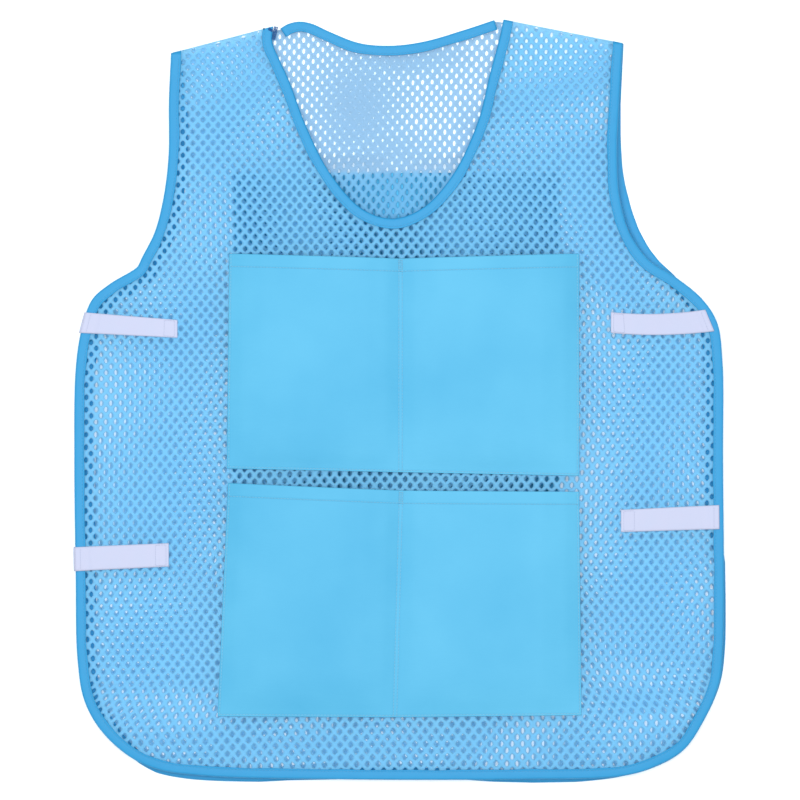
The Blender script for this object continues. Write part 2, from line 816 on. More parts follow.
def stitches(line: np.ndarray, pitch: float, length: float, radius: float, finish: int = 1) -> Skin:
    """A row of stitches: short threads that dip into the cloth at both ends.

    Each is a four-sided spindle whose radius falls to nothing at its ends.

    Args:
        line: Points that the row follows.
        pitch: Distance from stitch to stitch.
        length: Length of one stitch.
        radius: Half its thickness.
        finish: Its material's place.

    Returns:
        The skin, of triangles.
    """
    walked = np.linalg.norm(np.diff(line, axis=0), axis=1).sum()
    count = max(2, int(round(walked / pitch)))
    stations = resampled(line, count)
    middle = (stations[1:] + stations[:-1]) / 2
    run = np.diff(stations, axis=0)
    run /= np.linalg.norm(run, axis=1, keepdims=True)
    side = np.cross(run, [0.0, 0.0, 1.0])
    side /= np.linalg.norm(side, axis=1, keepdims=True)
    lift = np.cross(side, run)
    turns = np.linspace(0.0, 2 * np.pi, SPINDLE_SIDES, endpoint=False)
    parts = [middle - run * length / 2 - lift * radius * SPINDLE_SINK]
    for along, share in SPINDLE_RINGS:
        for turn in turns:
            around = side * np.cos(turn) + lift * np.sin(turn)
            parts.append(middle + run * length * along + around * radius * share)
    parts.append(middle + run * length / 2 - lift * radius * SPINDLE_SINK)
    block = np.stack(parts, axis=1)
    size = block.shape[1]
    pattern = []
    sides = SPINDLE_SIDES
    for corner in range(sides):
        nearby = (corner + 1) % sides
        pattern.append((0, 1 + nearby, 1 + corner))
        for ring in range(len(SPINDLE_RINGS) - 1):
            a, b = 1 + ring * sides + corner, 1 + ring * sides + nearby
            pattern.extend([(a, b, b + sides), (a, b + sides, a + sides)])
        pattern.append((size - 1, size - 1 - sides + corner, size - 1 - sides + nearby))
    faces = (np.arange(len(middle))[:, None, None] * size + np.array(pattern)[None]).reshape(-1, 3)
    return Skin(block.reshape(-1, 3), faces, finish).outward()


def make_piece(name: str, skins: Sequence[Skin], materials: Sequence[bpy.types.Material]) -> bpy.types.Object:
    """One object from its skins, in metres, smooth-shaded and at the origin.

    Args:
        name: The piece's name.
        skins: Its closed skins.
        materials: Its materials, in the order that the skins name.

    Returns:
        The object, linked to the scene.
    """
    starts = np.cumsum([0] + [len(skin.points) for skin in skins])
    points = np.concatenate([skin.points for skin in skins]) * METRES_PER_MM
    corners = np.concatenate([(skin.faces + start).ravel() for skin, start in zip(skins, starts)])
    sizes = np.concatenate([np.full(len(skin.faces), skin.faces.shape[1]) for skin in skins])
    finishes = np.concatenate([np.full(len(skin.faces), skin.finish) for skin in skins])
    mesh = bpy.data.meshes.new(name)
    mesh.vertices.add(len(points))
    mesh.vertices.foreach_set("co", points.ravel())
    mesh.loops.add(len(corners))
    mesh.loops.foreach_set("vertex_index", corners.astype(np.int32))
    mesh.polygons.add(len(sizes))
    mesh.polygons.foreach_set("loop_start", (np.cumsum(sizes) - sizes).astype(np.int32))
    mesh.polygons.foreach_set("material_index", finishes.astype(np.int32))
    mesh.polygons.foreach_set("use_smooth", np.ones(len(sizes), dtype=bool))
    maps = [skin.uv if skin.uv is not None else np.zeros((len(skin.points), 2)) for skin in skins]
    layer = mesh.uv_layers.new(name="cloth")
    layer.data.foreach_set("uv", np.concatenate(maps)[corners].astype(np.float32).ravel())
    for material in materials:
        mesh.materials.append(material)
    mesh.update(calc_edges=True)
    crisp = np.concatenate([skin.crisp() for skin in skins])
    ends = np.empty(len(mesh.edges) * 2, dtype=np.int32)
    mesh.edges.foreach_get("vertices", ends)
    sharp = mesh.attributes.new("sharp_edge", "BOOLEAN", "EDGE")
    sharp.data.foreach_set("value", crisp[ends.reshape(-1, 2)].all(axis=1))
    mesh.validate()
    piece = bpy.data.objects.new(name, mesh)
    bpy.context.scene.collection.objects.link(piece)
    LOG.info("%s: %d faces", name, len(mesh.polygons))
    return piece


def with_heights(plan: np.ndarray, height: Height, rise: np.ndarray | float) -> np.ndarray:
    """Points on the plan lifted to a panel's height plus a rise."""
    x, y = plan[..., 0], plan[..., 1]
    return np.stack([x, y, height(x, y) + rise], axis=-1)


def nearest_on(outline: np.ndarray, points: np.ndarray) -> tuple[np.ndarray, np.ndarray]:
    """Nearest place on a closed outline, found by projecting each point on every side of it.

    Args:
        outline: The outline's corners.
        points: The points.

    Returns:
        The nearest places and their distances.
    """
    start = outline
    way = np.roll(outline, -1, axis=0) - start
    squared = np.maximum((way**2).sum(axis=1), 1e-12)
    places = np.empty_like(points)
    distances = np.empty(len(points))
    for first in range(0, len(points), POINTS_AT_ONCE):
        chunk = slice(first, first + POINTS_AT_ONCE)
        part = points[chunk]
        offset = part[:, None] - start[None]
        share = np.clip((offset * way).sum(axis=2) / squared, 0.0, 1.0)
        gap = np.linalg.norm(offset - share[..., None] * way, axis=2)
        best = gap.argmin(axis=1)
        rows = np.arange(len(part))
        places[chunk] = start[best] + share[rows, best][:, None] * way[best]
        distances[chunk] = gap[rows, best]
    return places, distances


def inside(outline: np.ndarray, points: np.ndarray) -> np.ndarray:
    """Whether each point lies in a closed outline: a ray to the right crosses it an odd number of times."""
    x1, y1 = outline.T
    x2, y2 = np.roll(outline, -1, axis=0).T
    crossed = np.zeros(len(points), dtype=int)
    for first in range(0, len(points), POINTS_AT_ONCE):
        chunk = slice(first, first + POINTS_AT_ONCE)
        x, y = points[chunk].T[:, :, None]
        spans = (y1 > y) != (y2 > y)
        with np.errstate(divide="ignore", invalid="ignore"):
            at = x1 + (y - y1) * (x2 - x1) / (y2 - y1)
        crossed[chunk] = (spans & (at > x)).sum(axis=1)
    return crossed % 2 == 1


class Warp(NamedTuple):
    """How a net lies on the plan: turned and sheared by degrees, stretched, and in slow waves of millimetres.

    Its rows stand further apart towards the hem by the share `spread` a millimetre, and its columns by the
    share `flare` along the hem.
    """

    turn: float
    shear: float
    stretch_x: float
    stretch_y: float
    spread: float
    flare: float
    wave: float
    wave_length: float


class Haze(NamedTuple):
    """A soft patch where the net's two faces lie across each other: its place and spread in millimetres.

    share is how much of each hole's width and height is lost in its middle.
    """

    x: float
    y: float
    wide: float
    tall: float
    share: float


NECK_HAZES = tuple(Haze(*row) for row in (
    (-38.0, 266.0, 38.0, 50.0, 0.86), (-14.0, 226.0, 46.0, 22.0, 0.60),
    (-2.0, 306.0, 50.0, 13.0, 0.76), (30.0, 312.0, 30.0, 11.0, 0.60),
    (60.0, 250.0, 14.0, 24.0, 0.35), (0.0, 300.0, 220.0, 90.0, 0.10),
))


@dataclass
class NetPanel:
    """A panel of open net: staggered oval holes with strands between them that are thickest in the middle."""

    name: str
    form: VestForm
    edge: Edge
    neck: Edge
    height: Height
    warp: Warp
    rests_on: tuple[str, ...]
    pitch: float = 9.0
    row: float = 5.5
    hole_wide: float = 3.5
    hole_tall: float = 4.8
    crown: float = 0.6
    brim: float = 0.38
    hole_sides: int = 8
    flare_from: float = 240.0
    flare_over: float = 60.0
    hazes: tuple[Haze, ...] = ()
    bare_within: np.ndarray | None = None
    bare_above: float = 204.0
    seed: int = 3
    outline: np.ndarray = field(init=False)
    cloth_area: float = 0.0

    def __post_init__(self) -> None:
        """Works out the cut edge, which the bindings fold round."""
        inset = self.form.sizes.tape + self.form.sizes.gap
        self.outline = np.concatenate([self.edge.moved_in(inset), self.neck.moved_in(inset)[::-1]])

    def _laid(self, lattice: np.ndarray) -> np.ndarray:
        """Places of the knitted net on the plan: stretched, sheared, waved, then turned."""
        warp = self.warp
        y = lattice[..., 1] * warp.stretch_y * (1 - warp.spread * lattice[..., 1])
        x = lattice[..., 0] * (warp.stretch_x + warp.flare * smooth((-y - self.flare_from) / self.flare_over))
        y = y + x * np.tan(np.radians(warp.shear))
        turn = 2 * np.pi / warp.wave_length
        waved_x = x + warp.wave * np.sin(y * turn + 0.7) + 0.6 * warp.wave * np.sin((x + y) * turn * 0.6)
        waved_y = (
            y + 0.7 * warp.wave * np.sin(x * turn * 0.8 + 1.9) + 0.4 * warp.wave * np.cos(y * turn * 1.3)
        )
        cos, sin = np.cos(np.radians(warp.turn)), np.sin(np.radians(warp.turn))
        return np.stack(
            [
                waved_x * cos - waved_y * sin + 1.0,
                waved_x * sin + waved_y * cos + 2.0,
            ],
            axis=-1,
        )

    def _haziness(self, plan: np.ndarray) -> np.ndarray:
        """Share of each hole that is lost at places on the plan: the strongest patch's bell."""
        shares = [np.zeros(plan.shape[:-1])]
        for haze in self.hazes:
            aside, ahead = (plan[..., 0] - haze.x) / haze.wide, (plan[..., 1] - haze.y) / haze.tall
            shares.append(haze.share * np.exp(-(aside**2) - ahead**2))
        return np.maximum.reduce(shares)

    def _bareness(self, plan: np.ndarray) -> np.ndarray:
        """1 at places on the plan that neither the other panel nor a pocket covers, and 0 elsewhere."""
        if self.bare_within is None:
            return np.zeros(len(plan))
        return smooth((plan[:, 1] - self.bare_above) / 4.0) * inside(self.bare_within, plan)

    def _strip(self, hexagon: np.ndarray, ring: np.ndarray) -> np.ndarray:
        """Triangles between a cell's six corners (0 to 5) and its hole's ring (6 on), walked by angle."""
        outer = np.arctan2(hexagon[:, 1], hexagon[:, 0]) % (2 * np.pi)
        inner = np.arctan2(ring[:, 1], ring[:, 0]) % (2 * np.pi)
        triangles = []
        i = j = 0
        while i < len(outer) or j < len(inner):
            next_outer = outer[i] if i < len(outer) else np.inf
            next_inner = inner[j] if j < len(inner) else np.inf
            corner, hole = (i - 1) % len(outer), 6 + (j - 1) % len(inner)
            if next_outer <= next_inner:
                triangles.append((corner, i % len(outer), hole))
                i += 1
            else:
                triangles.append((corner, 6 + j % len(inner), hole))
                j += 1
        return np.array(triangles)

    def skin(self) -> Skin:
        """The net as one closed skin.

        A cell is the hexagon of places nearer to its hole than to any other. Its corners carry the crown
        of the strands, above and below, and the hole's ring lies a little under the upper crown. The
        outermost corners are drawn to the panel's cut edge, where a narrow wall closes the cloth.
        """
        hexagon = self._cell_corners()
        turns = np.linspace(0.0, 2 * np.pi, self.hole_sides, endpoint=False) + np.pi / self.hole_sides
        ring = np.stack([np.cos(turns) * self.hole_wide / 2, np.sin(turns) * self.hole_tall / 2], axis=1)
        strip = self._strip(hexagon, ring)
        rows = int(self.form.sizes.length / self.row / 2) + 12
        columns = int(self.form.sizes.width / self.pitch / 2) + 8
        row, column = np.meshgrid(np.arange(-rows, rows + 1), np.arange(-columns, columns + 1), indexing="ij")
        centres = np.stack([(column + 0.5 * (row % 2)) * self.pitch, row * self.row], axis=-1).reshape(-1, 2)
        laid = self._laid(centres)
        _, depth = nearest_on(self.outline, laid)
        kept = inside(self.outline, laid) & (depth > 1.2)
        centres, depth, laid = centres[kept], depth[kept], laid[kept]
        corners = centres[:, None] + hexagon[None]
        keys = np.round(corners.reshape(-1, 2) * 20).astype(np.int64)
        _, first, which, shares = np.unique(
            keys, axis=0, return_index=True, return_inverse=True, return_counts=True
        )
        plan = self._laid(corners.reshape(-1, 2)[first])
        rim = shares < 3
        plan[rim] = nearest_on(self.outline, plan[rim])[0]
        generator = np.random.default_rng(self.seed)
        loose = 1 + 0.05 * generator.standard_normal((len(centres), 1, 2))
        room = np.clip((depth - 0.5) / (self.hole_tall / 2), 0.12, 1.0)
        shut = (room * (1 - self._haziness(laid)))[:, None, None]
        holes = self._laid(centres[:, None] + ring[None] * shut * loose)
        middle = self.form.sizes.net / 2
        crowned = np.where(rim, self.crown * 0.8, self.crown)
        top = with_heights(plan, self.height, middle + crowned)
        bottom = with_heights(plan, self.height, middle - crowned)
        rings = with_heights(holes, self.height, middle + self.brim).reshape(-1, 3)
        count = len(plan)
        above = which.reshape(-1, 6)
        hole = 2 * count + np.arange(len(centres) * self.hole_sides).reshape(-1, self.hole_sides)
        upper = np.concatenate([above, hole], axis=1)[:, strip].reshape(-1, 3)
        lower = np.concatenate([above + count, hole], axis=1)[:, strip].reshape(-1, 3)[:, ::-1]
        sides = np.stack([above, np.roll(above, -1, axis=1)], axis=-1).reshape(-1, 2)
        _, first, uses = np.unique(np.sort(sides, axis=1), axis=0, return_index=True, return_counts=True)
        start, end = sides[first[uses == 1]].T
        wall = np.concatenate(
            [
                np.stack([end, start, start + count], axis=1),
                np.stack([end, start + count, end + count], axis=1),
            ]
        )
        points = np.concatenate([top, bottom, rings])
        self.cloth_area = self._plan_area(points[upper])
        haze = np.maximum(self._haziness(points[:, :2]), self._bareness(points[:, :2]))
        maps = np.stack([haze, np.arange(len(points)) >= 2 * count], axis=1).astype(float)
        return Skin(points, np.concatenate([upper, lower, wall]), uv=maps, crisp_from=2 * count).outward()

    def _plan_area(self, triangles: np.ndarray) -> float:
        """Area of triangles as seen from above, in square millimetres."""
        a, b, c = triangles[:, 0, :2], triangles[:, 1, :2], triangles[:, 2, :2]
        first, second = b - a, c - a
        return float(np.abs(first[:, 0] * second[:, 1] - first[:, 1] * second[:, 0]).sum() / 2)

    def _cell_corners(self) -> np.ndarray:
        """Corners of a hole's cell, from its centre: where the bisectors to its neighbours cross."""
        half, row = self.pitch / 2, self.row
        reach = (half**2 + row**2) / 2
        side = (reach - half**2) / row
        peak = reach / row
        upper = [[half, side], [0.0, peak], [-half, side]]
        return np.array(upper + [[-half, -side], [0.0, -peak], [half, -side]])

    def build(self, materials: Sequence[bpy.types.Material]) -> bpy.types.Object:
        """Args:
            materials: The net's material.

        Returns:
            The piece.
        """
        piece = make_piece(f"{self.name}_net", [self.skin()], materials)
        dress(piece, self.name)
        cloth = self.cloth_area * METRES_PER_MM**2
        return piece


def dress(piece: bpy.types.Object, node: str) -> None:
    """Ties a piece to the vest's one body and says which node and finish it stands for."""
    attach(piece, "root")
    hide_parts(node)


class Tack(NamedTuple):
    """A dense hand-sewn tack on a binding: its middle on the plan, its length and width, and its turn."""

    x: float
    y: float
    long: float
    wide: float
    turn: float


NECK_TACKS = (Tack(-112.6, 331.5, 12.0, 2.4, -12.0), Tack(-116.5, 334.6, 4.0, 1.6, 60.0))


@dataclass
class Binding:
    """Folded tape sewn over a panel's edge, with a round fold and a row of stitches near its inner edge."""

    name: str
    form: VestForm
    edge: Edge
    height: Height
    rests_on: tuple[str, ...]
    step: float = 2.4
    stitch_in: float = 1.7
    stitch_pitch: float = 3.2
    groove: float = 0.22
    waver: float = 0.22
    phase: float = 0.0
    tacks: tuple[Tack, ...] = ()

    def _section(self) -> tuple[np.ndarray, np.ndarray, float]:
        """Outer and inner line of the folded tape, as (inward, rise) pairs, and its girth.

        The outer line runs along the lower leg, round the fold as half an ellipse, and back along the
        upper leg, dipping at the stitches. The inner line lies a tape's thickness inside it.
        """
        s = self.form.sizes
        width, over, under = s.binding_width, s.binding_over, s.binding_under
        half = (over + under) / 2
        fold = 1.9
        leg = np.array([1.0, 0.94, 0.87, 0.81, 0.75, 0.60, 0.42])
        turn = np.linspace(-np.pi / 2, np.pi / 2, 9)
        dip = groove(leg * width - (width - self.stitch_in), self.groove, GROOVE_WIDE)
        round_in = fold - fold * np.cos(turn)
        round_up = (over - under) / 2 + half * np.sin(turn)
        inward = np.concatenate([leg * width, round_in, (leg * width)[::-1]])
        rise = np.concatenate(
            [np.full(len(leg), -under) + dip, round_up, np.full(len(leg), over) - dip[::-1]]
        )
        outer = np.stack([inward, rise], axis=1)
        tape = s.tape * 0.8
        inner_fold = fold - (fold - tape) * np.cos(turn)
        inner_up = (over - under) / 2 + (half - tape) * np.sin(turn)
        inner_rise = np.concatenate(
            [np.full(len(leg), -under + tape), inner_up, np.full(len(leg), over - tape)]
        )
        inner = np.stack([np.concatenate([leg * width, inner_fold, (leg * width)[::-1]]), inner_rise], axis=1)
        girth = np.linalg.norm(np.diff(outer, axis=0), axis=1).sum()
        return outer, inner, girth

    def skins(self) -> list[Skin]:
        """The tape and its stitches."""
        outer, inner, girth = self._section()
        walked = self.edge.walked
        steps = int(walked[-1] / self.step)
        at = np.linspace(0.0, walked[-1], steps + 1)
        points = np.stack([np.interp(at, walked, column) for column in self.edge.points.T], axis=1)
        inward = np.stack([np.interp(at, walked, column) for column in self.edge.inward.T], axis=1)
        wave = (
            np.sin(at / 9.1 + self.phase) + 0.6 * np.sin(at / 5.3 + 2 * self.phase) + 0.5 * np.sin(at / 31.0)
        )
        upright = np.linspace(-1.0, 1.0, len(outer)) ** 2
        grids = []
        for line in (outer, inner):
            reach = line[None, :, 0] + self.waver * wave[:, None] * upright[None]
            plan = points[:, None] + inward[:, None] * reach[..., None]
            level = with_heights(plan, self.height, line[None, :, 1])
            grids.append(level)
        across = np.linspace(0.0, girth, len(outer))
        uv = crossed_grid(at, across)
        tape = shell(grids[0], grids[1], uv)
        inset = self.form.sizes.binding_width - self.stitch_in
        lift = self.form.sizes.binding_over - self.groove + TAPE_STITCH_LIFT
        sewn = with_heights(points + inward * inset, self.height, lift)
        return [tape, stitches(sewn[2:-2], self.stitch_pitch, 2.5, 0.24)] + self._tacked()

    def _tacked(self) -> list[Skin]:
        """Rows of stitches side by side for each tack."""
        skins = []
        for tack in self.tacks:
            way = np.array([-np.sin(np.radians(tack.turn)), np.cos(np.radians(tack.turn))])
            aside = np.array([way[1], -way[0]])
            for shift in (-0.5, 0.0, 0.5):
                middle = np.array([tack.x, tack.y]) + aside * shift * tack.wide
                line = middle + np.linspace(-0.5, 0.5, 7)[:, None] * way * tack.long
                lifted = with_heights(line, self.height, self.form.sizes.binding_over + 0.15)
                skins.append(stitches(lifted, 2.1, 2.6, 0.55, finish=2))
        return skins

    def build(self, materials: Sequence[bpy.types.Material]) -> bpy.types.Object:
        """Args:
            materials: The tape's and the thread's material.

        Returns:
            The piece.
        """
        piece = make_piece(f"{self.name}_tape", self.skins(), materials)
        _, _, girth = self._section()
        dress(piece, self.name)
        return piece


class Pucker(NamedTuple):
    """A small crease in a pocket: its place and spread in shares of the row, its height, and its turn."""

    across: float
    up: float
    rise: float
    wide: float
    long: float
    turn: float


PUCKERS = tuple(Pucker(*row) for row in (
    (0.44, 0.50, 0.45, 0.035, 0.22, 4.0), (0.57, 0.42, 0.40, 0.030, 0.20, -5.0),
    (0.42, 0.12, 0.40, 0.030, 0.10, 12.0), (0.56, 0.10, 0.35, 0.030, 0.10, -14.0),
    (0.10, 0.10, 0.40, 0.035, 0.09, -16.0), (0.90, 0.12, 0.40, 0.035, 0.10, 15.0),
    (0.24, 0.08, 0.35, 0.030, 0.08, 6.0), (0.74, 0.09, 0.35, 0.030, 0.08, -8.0),
    (0.07, 0.80, 0.30, 0.030, 0.14, 8.0), (0.94, 0.74, 0.30, 0.030, 0.14, -8.0),
    (0.46, 0.86, 0.35, 0.025, 0.09, -8.0), (0.55, 0.86, 0.30, 0.025, 0.09, 8.0),
))


@dataclass
class PocketRow:
    """A row of two pockets: one cloth sewn at its sides, foot and middle, with a folded hem at its mouth."""

    name: str
    form: VestForm
    base: float
    tall: float
    left: Corner
    seam: Corner
    right: Corner
    rests_on: tuple[str, ...]
    on_front: bool = True
    stitch_pitch: float = 2.9
    columns: int = 133
    rows: int = 81

    @property
    def unit(self) -> float:
        """Width that the corners' shares are of."""
        return self.form.sizes.front_pocket_width if self.on_front else self.form.sizes.back_pocket_width

    def _upright(self, corner: Corner, up: np.ndarray) -> np.ndarray:
        """Places up one of the row's upright edges."""
        x = self.unit * (corner.foot_x + (corner.top_x - corner.foot_x) * up)
        share = corner.foot_y + (corner.top_y - corner.foot_y) * up
        y = self.form.sizes.from_hem(self.base + self.tall * share)
        aside = 0.0 if self.on_front else self.form.sizes.back_pocket_aside
        return np.stack([x + aside, y], axis=-1) + self.form.offset

    def _place(self, across: np.ndarray, up: np.ndarray) -> np.ndarray:
        """Plan of the row: across runs from -1 at the left through 0 at the middle seam to 1."""
        side = np.where((across < 0)[..., None], self._upright(self.left, up), self._upright(self.right, up))
        middle = self._upright(self.seam, up)
        return middle + (side - middle) * np.abs(across)[..., None]

    def _swell(self, across: np.ndarray, up: np.ndarray) -> np.ndarray:
        """Height of the cloth over its seams: a broad swell in each pocket, with small creases."""
        s = self.form.sizes
        out = 2 * np.abs(across) - 1
        foot = np.clip((up - s.side_seam / self.tall) / (1 - s.side_seam / self.tall), 0.0, 1.0)
        edge = 1 - s.side_seam / self.unit
        swell = eased(ACROSS_SWELL, out / edge) * eased(UP_SWELL, foot) * s.pocket_loft
        share = (across + 1) / 2
        for pucker in PUCKERS:
            cos, sin = np.cos(np.radians(pucker.turn)), np.sin(np.radians(pucker.turn))
            aside = (share - pucker.across) * cos + (up - pucker.up) * sin
            ahead = (up - pucker.up) * cos - (share - pucker.across) * sin
            bell = np.exp(-((aside / pucker.wide) ** 2) - (ahead / pucker.long) ** 2)
            swell = swell + pucker.rise * bell * np.clip(swell / 1.5, 0.0, 1.0)
        return swell

    def _under(self, plan: np.ndarray, across: np.ndarray, up: np.ndarray) -> np.ndarray:
        """Points on the cloth's underside."""
        s = self.form.sizes
        if not self.on_front:
            return np.concatenate([plan, np.zeros(plan.shape[:-1] + (1,))], axis=-1)
        return with_heights(plan, self.form.front_height, s.net + s.gap + self._swell(across, up))

    def _thickness(self, across: np.ndarray, up: np.ndarray) -> np.ndarray:
        """Thickness of the cloth: doubled in part by the hem, drawn in along each row of stitches."""
        s = self.form.sizes
        below = (1 - up) * self.tall
        fold = s.hem_fold * (smooth((s.pocket_hem - below) / HEM_EASE) if self.on_front else 0.0)
        hem = groove(below - self.hem_line, HEM_GROOVE, HEM_GROOVE_WIDE)
        side = (1 - np.abs(across)) * self.unit
        edges = groove(side - self.side_line, EDGE_GROOVE, GROOVE_WIDE)
        foot = groove(up * self.tall - self.side_line, EDGE_GROOVE, GROOVE_WIDE)
        middle = groove(np.abs(across) * self.unit - s.centre_seam / 2, SEAM_GROOVE, GROOVE_WIDE)
        return s.pocket_cloth * CLOTH_SHARE + fold - np.maximum.reduce([hem, edges, foot, middle])

    @property
    def hem_line(self) -> float:
        """Distance of the hem's stitches below the mouth."""
        return self.form.sizes.pocket_hem - HEM_STITCH_IN

    @property
    def side_line(self) -> float:
        """Distance of the outer stitches in from the cloth's edge."""
        return EDGE_STITCH_IN

    def _lines(self) -> tuple[np.ndarray, np.ndarray]:
        """Grid lines across and up, closer together at the seams and the hem."""
        u = self.unit
        s = self.form.sizes
        near = np.array([0.0, 0.8, 1.5, 2.2, 3.2, 5.0]) / u
        far = 1 - np.array([5.0, 3.2, 2.4, 1.6, 0.8, 0.0]) / u
        half = np.concatenate([near, np.linspace(near[-1], far[0], self.columns // 2 - 10)[1:-1], far])
        across = np.concatenate([-half[:0:-1], half])
        foot = np.array([0.0, 0.8, 1.6, 2.4, 3.4, 5.0]) / self.tall
        hem = 1 - (self.hem_line + np.array([3.0, 1.6, 0.8, 0.0, -0.8, -1.6, -3.0])) / self.tall
        top = 1 - np.array([5.5, 3.0, 1.2, 0.0]) / self.tall
        body = np.linspace(foot[-1], hem[0], self.rows - 18)[1:-1]
        return across, np.concatenate([foot, body, hem, top])

    def skins(self) -> list[Skin]:
        """The cloth, its stitched seams and the bar tack at its middle."""
        across, up = np.meshgrid(*self._lines(), indexing="ij")
        plan = self._place(across, up)
        bottom = self._under(plan, across, up)
        top = bottom.copy()
        top[..., 2] += self._thickness(across, up)
        uv = np.stack([across * self.unit, up * self.tall], axis=-1) * METRES_PER_MM
        cloth = shell(top, bottom, uv)
        sewn = [stitches(line, self.stitch_pitch, POCKET_STITCH, POCKET_THREAD) for line in self._seams()]
        return [cloth] + sewn + self._tack()

    def _on_top(self, across: np.ndarray, up: np.ndarray) -> np.ndarray:
        """Points that lie in the cloth's outer face, on the side that shows."""
        points = self._under(self._place(across, up), across, up)
        if self.on_front:
            points[..., 2] += self._thickness(across, up) + 0.1
        else:
            points[..., 2] += 0.12
        return points

    def _seams(self) -> list[np.ndarray]:
        """Lines that the rows of stitches follow."""
        u = self.unit
        ends = np.linspace(-1 + self.side_line / u, 1 - self.side_line / u, 161)
        rise = np.linspace(self.side_line / self.tall, 1 - 0.8 / self.tall, 101)
        hem = self._on_top(ends, np.full_like(ends, 1 - self.hem_line / self.tall))
        foot = self._on_top(ends, np.full_like(ends, self.side_line / self.tall))
        uprights = [
            self._on_top(np.full_like(rise, place), rise)
            for place in (-1 + self.side_line / u, -1.5 / u, 1.5 / u, 1 - self.side_line / u)
        ]
        return [hem, foot, *uprights]

    def _tack(self) -> list[Skin]:
        """Bar tack: short crosswise stitches down the middle seam inside the hem."""
        skins = []
        for step in range(6):
            up = 1 - (1.5 + step * self.hem_line / 6) / self.tall
            line = self._on_top(np.array([-2.2, 2.2]) / self.unit, np.array([up, up - 0.8 / self.tall]))
            skins.append(stitches(line, 2.2, 2.6, 0.34))
        return skins

    def build(self, materials: Sequence[bpy.types.Material]) -> bpy.types.Object:
        """Args:
            materials: The cloth's and the thread's material.

        Returns:
            The piece.
        """
        piece = make_piece(f"{self.name}_cloth", self.skins(), materials)
        dress(piece, self.name)
        wide = self.unit * (self.right.top_x - self.left.top_x)
        flat = (wide * METRES_PER_MM, self.tall * METRES_PER_MM)
        return piece


